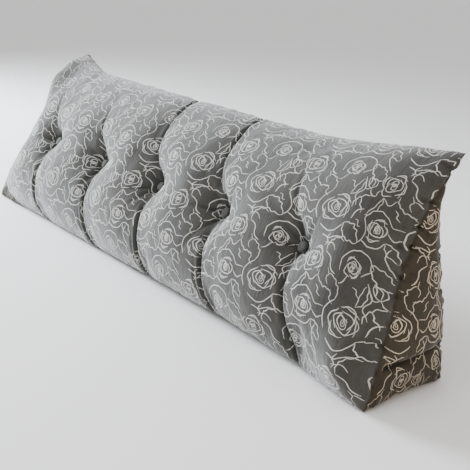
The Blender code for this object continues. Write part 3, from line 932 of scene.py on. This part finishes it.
def earTips(points):
    # distance to the nearest ear tip
    tips = [seamPoints(corner, np.array([side * half]))[0] + np.array(form["centring"])
            for side in (-1, 1) for corner in ("top", "front", "back")]
    return np.min([np.linalg.norm(points - tip, axis=1) for tip in tips], axis=0)


def roundEars(item, reach, rounds):
    # filled corners: the sharp tip of each sewn ear is eased
    points = meshPoints(item.data)
    edges = np.empty(len(item.data.edges) * 2, dtype=np.int32)
    item.data.edges.foreach_get("vertices", edges)
    eased = neighbourMean(points, edges.reshape(-1, 2), rounds)
    weight = 1.0 - smooth((earTips(points) - 0.3 * reach) / reach)
    setPoints(item.data, points + (eased - points) * weight[:, None])


roundEars(item, pleats["earReach"], pleats["earRounds"])
dressCover(item)
item.data.materials.clear()
item.data.materials.append(makeVelvet("printedVelvetGround", velvet))
item.data.shade_smooth()
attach(item, "root")
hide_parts("cushion")
print("cover dressed:", sum(len(face.vertices) - 2 for face in item.data.polygons), "triangles")

# Covered buttons: cloth drawn over a dome and gathered under its rim
button = {
    "radius": 0.012, "seatGap": 0.0003,
    "rings": 12, "sides": 48, "gathers": 11, "gatherDepth": 0.0005, "dent": 0.0006,
}


def makeButton(tuft, material, seed):
    seat, up = tuftSeat(tuft)
    across = np.array([1.0, 0.0, 0.0])
    slope = np.cross(up, across)
    spread = np.random.default_rng(seed)
    phase = spread.uniform(0, 2 * math.pi, 3)
    rings, sides = button["rings"], button["sides"]
    points, faces = [], []
    profile = [(0.55, 0.0), (0.80, 0.0), (0.93, 0.0006), (0.985, 0.0018), (1.0, 0.0030)]
    for k in range(rings):
        angle = (k + 1) / rings * math.pi / 2
        profile.append((math.cos(angle) ** 0.75, 0.0030 + 0.0050 * math.sin(angle)))
    for radius, height in profile[:-1]:
        for k in range(sides):
            turn = 2 * math.pi * k / sides
            rim = max(0.0, 1.0 - abs(height - 0.0026) / 0.0032)
            sway = 1.3 * math.sin(2 * turn + phase[1])
            fold = button["gatherDepth"] * rim * math.sin(
                button["gathers"] * turn + phase[0] + sway)
            out = radius * (button["radius"] - button["gatherDepth"]) + fold
            lift = button["seatGap"] + height
            lift -= button["dent"] * (1.0 - radius) * (0.5 + 0.5 * math.sin(turn + phase[2]))
            points.append(seat + across * out * math.cos(turn) + slope * out * math.sin(turn)
                          + up * lift)
    rows = len(profile) - 1
    points.append(seat + up * (button["seatGap"] + profile[-1][1] - button["dent"] * 0.5))
    points.append(seat + up * button["seatGap"])
    for row in range(rows - 1):
        for k in range(sides):
            a, b = row * sides + k, row * sides + (k + 1) % sides
            faces.append((a, b, b + sides, a + sides))
    for k in range(sides):
        top = (rows - 1) * sides
        faces.append((top + k, top + (k + 1) % sides, len(points) - 2))
        faces.append(((k + 1) % sides, k, len(points) - 1))
    mesh = bpy.data.meshes.new(tuft["node"] + "Covered")
    mesh.from_pydata([tuple(p) for p in points], [], faces)
    mesh.materials.append(material)
    mesh.shade_smooth()
    piece = newObject(tuft["node"] + "Covered", mesh)
    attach(piece, "root")
    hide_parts(tuft["node"])


buttonCloth = makeVelvet("coveredButtonVelvet", dict(velvet, patchSize=0.012, ripple=0.2))
for number, tuft in enumerate(tufts):
    makeButton(tuft, buttonCloth, number + 20)
print("buttons covered")


# The print: one repeat of a generic line-drawn rose pattern, laid over the cut panels
printed = {
    "wornHex": "#b9b9b2", "wearScale": 420.0,
    "sunk": 0.00012,        # how far a line's edges dip into the cloth
    "tile": (0.216, 0.189),     # size of one repeat, drawn at 300 by 262
    "rowShift": 0.5,            # share of a repeat that every other row is moved by
    "lineWidth": 0.0021, "lineHeight": 0.00042, "step": 0.0034, "hiddenStep": 0.0058,
    # the lines' painted warm shade on the ends and painted shade in folds
    "margin": 0.0022, "lineHex": "#cfcfc9", "warmShadeHex": "#cdc3ae", "paintedShadeHex": "#4a4946", "seed": 11,
}


def bowed(first, last, bend, count=12):
    # a plain curved stroke from first to last, bent to its left
    first, last = np.array(first, float), np.array(last, float)
    run = np.linspace(0.0, 1.0, count)[:, None]
    side = np.array([first[1] - last[1], last[0] - first[0]])
    return first + (last - first) * run + side * bend * np.sin(math.pi * run)


def through(*spots):
    # a smooth hand-drawn line through the given spots
    spots = np.array(spots, float)
    padded = np.vstack([2 * spots[0] - spots[1], spots, 2 * spots[-1] - spots[-2]])
    line = []
    for a, b, c, d in zip(padded, padded[1:], padded[2:], padded[3:]):
        for t in np.linspace(0.0, 1.0, 8, endpoint=False):
            line.append(0.5 * (2 * b + (c - a) * t + (2 * a - 5 * b + 4 * c - d) * t * t
                               + (3 * b - a - 3 * c + d) * t ** 3))
    return np.array(line + [spots[-1]])


def sketched(spots, cuts=2):
    # straight strokes through the spots with their corners only slightly rounded
    line = np.array(spots, float)
    for number in range(cuts):
        early, late = line[:-1] * 0.78 + line[1:] * 0.22, line[:-1] * 0.22 + line[1:] * 0.78
        line = np.vstack([line[:1], np.stack([early, late], 1).reshape(-1, 2), line[-1:]])
    return line


def ring(spots, turn):
    # spots given as angle and distance
    angle, away = np.array(spots, float).T
    return np.stack([away * np.cos(angle + turn), away * np.sin(angle + turn)], 1)


def rose(centre, size, turn, seed):
    # a loose line rose: a long oval heart, then wrapped petals drawn in straight strokes
    spread = np.random.default_rng(seed)
    angle = np.linspace(0.0, 2 * math.pi * 2.2, 46)
    away = 0.02 + 0.24 * (angle / angle[-1]) ** 0.9
    strokes = [np.stack([away * np.cos(angle) * 0.58, away * np.sin(angle) * 1.25], 1)]
    layers = ((2, 0.40, 1.22, 0.4), (3, 0.66, 1.20, 1.3), (4, 1.0, 1.04, 0.2))
    for petals, near, wrap, start in layers:
        for k in range(petals):
            first = start + 2 * math.pi * (k + spread.uniform(-0.15, 0.15)) / petals
            sweep = 2 * math.pi / petals * wrap * spread.uniform(0.92, 1.08)
            grow = near * spread.uniform(0.92, 1.08)
            corner = spread.uniform(0.30, 0.62)
            shape = [(0.0, 0.80), (corner, 1.16), (corner + 0.24, 1.02), (1.0, 0.88)]
            lip = [(first + share * sweep, grow * out) for share, out in shape]
            strokes.append(sketched(ring(lip, 0.0)))
            if petals == 4 and k != 1:  # the turned-over lip
                shape = [(corner - 0.26, 1.10), (corner - 0.02, 0.98), (corner + 0.34, 0.90)]
                lip = [(first + share * sweep, grow * out) for share, out in shape]
                strokes.append(sketched(ring(lip, 0.0), 1))
    spin = np.array([[math.cos(turn), -math.sin(turn)], [math.sin(turn), math.cos(turn)]])
    return [np.array(centre) + size * stroke @ spin.T for stroke in strokes]


def toothed(root, tip, width, teeth, sides=(1, -1), rib=0.75):
    # a leaf with a toothed edge, one or both of its sides drawn
    root, tip = np.array(root, float), np.array(tip, float)
    along = tip - root
    across = np.array([-along[1], along[0]]) * width
    strokes = []
    for side in sides:
        spots = [root]
        for k in range(teeth):
            for share, out in ((0.62, 1.12), (0.80, 0.70)):
                run = (k + share) / teeth
                swell = math.sin(math.pi * run ** 0.85) ** 0.7
                spots.append(root + along * run + side * across * out * swell)
        strokes.append(sketched(spots[:-1] + [tip], 1))
    if rib:
        strokes.append(bowed(root, root + along * rib, 0.06, 7))
    return strokes


def bud(root, tip, width):
    root, tip = np.array(root, float), np.array(tip, float)
    side = np.array([root[1] - tip[1], tip[0] - root[0]])
    return [bowed(root, tip, width), bowed(root, tip, -width),
            through(root + (tip - root) * 0.35 + side * width * 0.8,
                    root + (tip - root) * 0.62 - side * width * 0.1,
                    root + (tip - root) * 0.95 + side * width * 0.25),
            bowed(root, root + (tip - root) * 0.5 + side * width * 1.9, 0.3, 7),
            bowed(root, root + (tip - root) * 0.45 - side * width * 1.9, -0.3, 7)]


def drawRepeat():
    # every stroke of one repeat, in metres from its lower left corner
    mm = printed["tile"][0] / 300
    strokes = rose((74 * mm, 78 * mm), 42 * mm, 0.3, 3)
    strokes += rose((214 * mm, 190 * mm), 38 * mm, 2.0, 8)
    strokes += rose((236 * mm, 60 * mm), 30 * mm, 3.6, 5)
    strokes += rose((58 * mm, 208 * mm), 25 * mm, 1.0, 9)
    shapes = [
        toothed((122, 44), (190, 8), 0.30, 4, (1, -1), 0.0),
        toothed((120, 92), (176, 140), 0.26, 4, (1,), 0.0),
        toothed((34, 118), (-8, 172), 0.28, 4, (-1,), 0.0),
        toothed((96, 124), (112, 186), 0.26, 3, (-1,), 0.9),
        toothed((170, 190), (106, 232), 0.28, 4, (1, -1), 0.0),
        toothed((254, 168), (314, 134), 0.26, 4, (-1,), 0.0),
        toothed((208, 148), (176, 84), 0.26, 3, (1,), 0.9),
        toothed((252, 220), (300, 272), 0.28, 4, (1,), 0.0),
        toothed((272, 38), (316, 2), 0.26, 3, (1, -1), 0.0), bud((150, 158), (128, 192), 0.26),
    ]
    strokes += [line * mm for shape in shapes for line in shape]
    sweeps = [
        ((116, 222), (96, 248), (66, 256), (36, 246), (16, 220), (20, 190)),
        ((190, 8), (204, 30), (200, 56), (184, 80), (200, 104)), ((176, 140), (156, 146),
        (150, 158)),
        ((112, 186), (130, 150), (114, 128), (132, 100)),
        ((200, 104), (226, 112), (254, 102), (276, 84), (304, 88)),
        ((22, 38), (8, 66), (14, 96), (34, 118)), ((40, 24), (70, 10), (100, 16), (122, 44)),
        ((136, 62), (146, 88), (168, 100)), ((168, 226), (148, 244), (132, 268), (140, 292)),
        ((254, 154), (236, 134), (208, 148)), ((252, 220), (278, 208), (290, 182), (310, 176)),
        ((268, 64), (290, 52), (306, 62)), ((88, 196), (104, 208), (116, 222)),
        ((272, 38), (254, 16), (226, 12), (200, 22)), ((30, 158), (44, 170), (50, 184)),
        ((150, 0), (120, 6), (92, -8), (60, -4)), ((282, 232), (262, 246), (236, 240)),
    ]
    strokes += [through(*spots) * mm for spots in sweeps]
    jags = [
        ((136, 126), (144, 112), (142, 104), (156, 98), (158, 86)),
        ((244, 268), (234, 254), (246, 246), (238, 232)), ((6, 136), (18, 124), (12, 114),
        (28, 104)),
        ((188, 164), (176, 152), (182, 140), (166, 142)), ((98, 144), (86, 152), (90, 164),
        (74, 164)),
        ((296, 144), (284, 160), (294, 170), (280, 182)), ((262, 130), (274, 122), (270, 112),
        (284, 106)),
        ((180, 52), (166, 50), (168, 64), (154, 66)),
    ]
    strokes += [sketched(spots, 1) * mm for spots in jags]
    return strokes


def drawingCurves():
    # the strokes as one curve object, wobbling a little and thin at their ends
    data = bpy.data.curves.new("roseRepeat", "CURVE")
    data.dimensions = "3D"
    spread = np.random.default_rng(printed["seed"])
    for stroke in drawRepeat():
        step = np.linalg.norm(np.diff(stroke, axis=0), axis=1)
        run = np.concatenate([[0.0], np.cumsum(step)])
        count = max(5, round(run[-1] / 0.003) + 1)
        even = np.linspace(0.0, run[-1], count)
        line = np.stack([np.interp(even, run, stroke[:, k]) for k in (0, 1)], 1)
        phase, pace = spread.uniform(0, 6.28, 2), spread.uniform(0.016, 0.026)
        line[:, 0] += 0.0007 * np.sin(even / pace * 6.28 + phase[0])
        line[:, 1] += 0.0007 * np.cos(even / pace * 5.1 + phase[1])
        toTip = smooth(np.minimum(even, run[-1] - even) / 0.010)
        weight = spread.uniform(0.82, 1.12) * (0.45 + 0.55 * toTip)
        weight *= 1.0 + 0.12 * np.sin(even / 0.017 + phase[1])
        spline = data.splines.new("POLY")
        spline.points.add(count - 1)
        lift = spread.uniform(0.0, 0.00015)
        for point, (x, y), size in zip(spline.points, line, weight):
            point.co = (x, y, lift, 1.0)
            point.radius = size
    return newObject("roseRepeat", data)


def printTree():
    # repeats the drawing over one cut panel as ribbons, then lifts them on to the sewn cloth
    tree = bpy.data.node_groups.new("layPrint", "GeometryNodeTree")
    sockets = {"cloth": "Object", "drawing": "Object", "finish": "Material",
               "islandLow": "Vector", "islandHigh": "Vector", "tileWidth": "Float",
               "tileHeight": "Float", "rowShift": "Float", "lineWidth": "Float",
               "lineHeight": "Float", "step": "Float"}
    for name, kind in sockets.items():
        tree.interface.new_socket(name, in_out="INPUT", socket_type="NodeSocket" + kind)
    tree.interface.new_socket("ribbons", in_out="OUTPUT", socket_type="NodeSocketGeometry")
    given = tree.nodes.new("NodeGroupInput").outputs

    def node(kind, inputs=None, **settings):
        return addNode(tree, "GeometryNode" + kind, inputs, **settings).outputs

    def calc(operation, *values):
        return addNode(tree, "ShaderNodeMath", dict(enumerate(values)),
                       operation=operation).outputs[0]

    def xyz(**axes):
        return addNode(tree, "ShaderNodeCombineXYZ",
                       {name.upper(): value for name, value in axes.items()}).outputs[0]

    def split(vector):
        return addNode(tree, "ShaderNodeSeparateXYZ", {0: vector}).outputs

    def stored(name, kind="FLOAT"):
        return node("InputNamedAttribute", {"Name": name}, data_type=kind)[0]

    def store(geometry, name, value, kind="FLOAT"):
        return node("StoreNamedAttribute", {"Geometry": geometry, "Name": name, "Value": value},
                    data_type=kind, domain="POINT")[0]

    low, high = split(given["islandLow"]), split(given["islandHigh"])
    wide, tall = given["tileWidth"], given["tileHeight"]
    lines = []
    for axis, size, offset in ((0, wide, xyz(x=wide)), (1, tall, xyz(y=tall))):
        reach = calc("DIVIDE", calc("SUBTRACT", high[axis], low[axis]), size)
        lines.append(node("MeshLine", {
            "Count": calc("ADD", calc("CEIL", reach), 2.0), "Offset": offset}, mode="OFFSET")[0])
    odd = calc("MODULO", node("InputIndex")[0], 2.0)
    slide = calc("MULTIPLY", calc("MULTIPLY", odd, given["rowShift"]), wide)
    stagger = node("SetPosition", {"Geometry": lines[1], "Offset": xyz(x=slide)})[0]
    grid = node("InstanceOnPoints", {"Points": stagger, "Instance": lines[0]})[0]
    start = xyz(x=calc("SUBTRACT", low[0], wide),
                y=calc("SUBTRACT", low[1], calc("MULTIPLY", tall, 0.5)))
    placed = node("SetPosition", {
        "Geometry": node("RealizeInstances", {0: grid})[0], "Offset": start})[0]
    drawing = node("ObjectInfo", {"Object": given["drawing"]})["Geometry"]
    repeats = node("InstanceOnPoints", {"Points": placed, "Instance": drawing})[0]
    even = node("ResampleCurve", {"Curve": node("RealizeInstances", {0: repeats})[0],
                                  "Length": given["step"]}, mode="LENGTH")[0]
    upright = node("SetCurveNormal", {"Curve": even}, mode="Z_UP")[0]
    side, sunk = calc("MULTIPLY", given["lineWidth"], 0.5), printed["sunk"]
    arch = node("CurveQuadraticBezier", {
        "Resolution": 3, "Start": xyz(x=calc("MULTIPLY", side, -1.0), y=sunk),
        "Middle": xyz(y=calc("MULTIPLY", given["lineHeight"], -2.0)),
        "End": xyz(x=side, y=sunk)})[0]
    ribbon = node("CurveToMesh", {
        "Curve": upright, "Profile Curve": arch, "Scale": stored("radius")})[0]
    place = node("InputPosition")[0]
    outward = node("FieldOnDomain", {"Value": node("InputNormal")[0]},
                   data_type="FLOAT_VECTOR", domain="POINT")[0]
    cloth = node("ObjectInfo", {"Object": given["cloth"]})["Geometry"]
    kept = store(cloth, "outward", outward, "FLOAT_VECTOR")
    cut = stored("cutPanels", "FLOAT_VECTOR")
    # the cloth's painted shade and painted warm shade, carried on to the print's ribbons
    shades = xyz(x=stored("hollow"), y=stored("endPanel"))
    onCloth = [node("SampleUVSurface", {
        "Mesh": kept, "Value": value, "Source UV Map": cut, "Sample UV": place},
        data_type="FLOAT_VECTOR") for value in (place, stored("outward", "FLOAT_VECTOR"), shades)]
    flat = split(place)
    lift = addNode(tree, "ShaderNodeVectorMath", {0: onCloth[1]["Value"], "Scale": flat[2]},
                   operation="SCALE").outputs[0]
    spot = addNode(tree, "ShaderNodeVectorMath", {0: onCloth[0]["Value"], 1: lift},
                   operation="ADD").outputs[0]
    off = calc("SUBTRACT", 1.0, onCloth[0]["Is Valid"])
    for axis in (0, 1):
        off = calc("MAXIMUM", off, calc("LESS_THAN", flat[axis], low[axis]))
        off = calc("MAXIMUM", off, calc("GREATER_THAN", flat[axis], high[axis]))
    shade = split(onCloth[2]["Value"])
    marked = ribbon
    for name, value in (("off", off), ("hollow", shade[0]), ("endPanel", shade[1])):
        marked = store(marked, name, value)
    laid = node("SetPosition", {"Geometry": marked, "Position": spot})[0]
    isOff = addNode(tree, "FunctionNodeCompare", {"A": stored("off"), "B": 0.5},
                    data_type="FLOAT", operation="GREATER_THAN").outputs[0]
    trimmed = node("DeleteGeometry", {"Geometry": laid, "Selection": isOff}, domain="POINT")[0]
    clean = node("RemoveAttribute", {"Geometry": trimmed, "Name": "off"})[0]
    whole = node("RealizeInstances", {0: node("SetShadeSmooth", {"Geometry": clean})[0]})[0]
    painted = node("SetMaterial", {"Geometry": whole, "Material": given["finish"]})[0]
    addNode(tree, "NodeGroupOutput", {0: painted})
    return tree


def setInputs(modifier, **values):
    # each named input of the tree, set by its socket's identifier
    for socket in modifier.node_group.interface.items_tree:
        if socket.item_type == "SOCKET" and socket.in_out == "INPUT" and socket.name in values:
            modifier[socket.identifier] = values[socket.name]


def layPrint(name, panel, step, tree, drawing, finish):
    holder = newObject(name, bpy.data.meshes.new(name))
    laying = holder.modifiers.new("layPrint", "NODES")
    laying.node_group = tree
    low, high = (np.array(corner) + side * printed["margin"]
                 for corner, side in zip(islands[panel], (1, -1)))
    setInputs(laying, cloth=item, drawing=drawing, finish=finish,
              islandLow=(*low, 0.0), islandHigh=(*high, 0.0),
              tileWidth=printed["tile"][0], tileHeight=printed["tile"][1],
              rowShift=printed["rowShift"], lineWidth=printed["lineWidth"],
              lineHeight=printed["lineHeight"], step=step)
    graph = bpy.context.evaluated_depsgraph_get()
    mesh = bpy.data.meshes.new_from_object(holder.evaluated_get(graph))
    holder.modifiers.clear()
    holder.data = mesh
    if not mesh.materials:
        mesh.materials.append(finish)
    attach(holder, "root")
    print(name, "has", sum(len(face.vertices) - 2 for face in mesh.polygons), "triangles")
    return holder


def makePrintFinish():
    material, tree = newMaterial("creamPrintInk")  # matt raised ink, a little worn, with painted shade in folds and painted warm shade on the ends
    worn, line, end, fold = (hexColour(printed[key])
                             for key in ("wornHex", "lineHex", "warmShadeHex", "paintedShadeHex"))
    spot = addNode(tree, "ShaderNodeTexCoord").outputs["Object"]
    wear = clothNoise(tree, spot, printed["wearScale"], 2.0, 0.5)
    warmEndShade, creaseShade = placeShades(tree)
    # the print's lines take the same painted warm shade on the ends and painted shade in folds
    colour = mixColour(tree, warmEndShade, mixColour(tree, wear, worn, line), end)
    addShader(tree, {"Base Color": mixColour(tree, creaseShade, colour, fold), "Roughness": 0.75,
                     "Specular IOR Level": 0.2, "Sheen Weight": 0.2, "Sheen Roughness": 0.5})
    return material


drawing = drawingCurves()
tree = printTree()
finish = makePrintFinish()
for name, panel, step in (("printFront", "front", printed["step"]),
                          ("printEnds", "ends", printed["step"]),
                          ("printBack", "back", printed["hiddenStep"]),
                          ("printBase", "base", printed["hiddenStep"])):
    layPrint(name, panel, step, tree, drawing, finish)
bpy.data.objects.remove(drawing)
print("print laid")
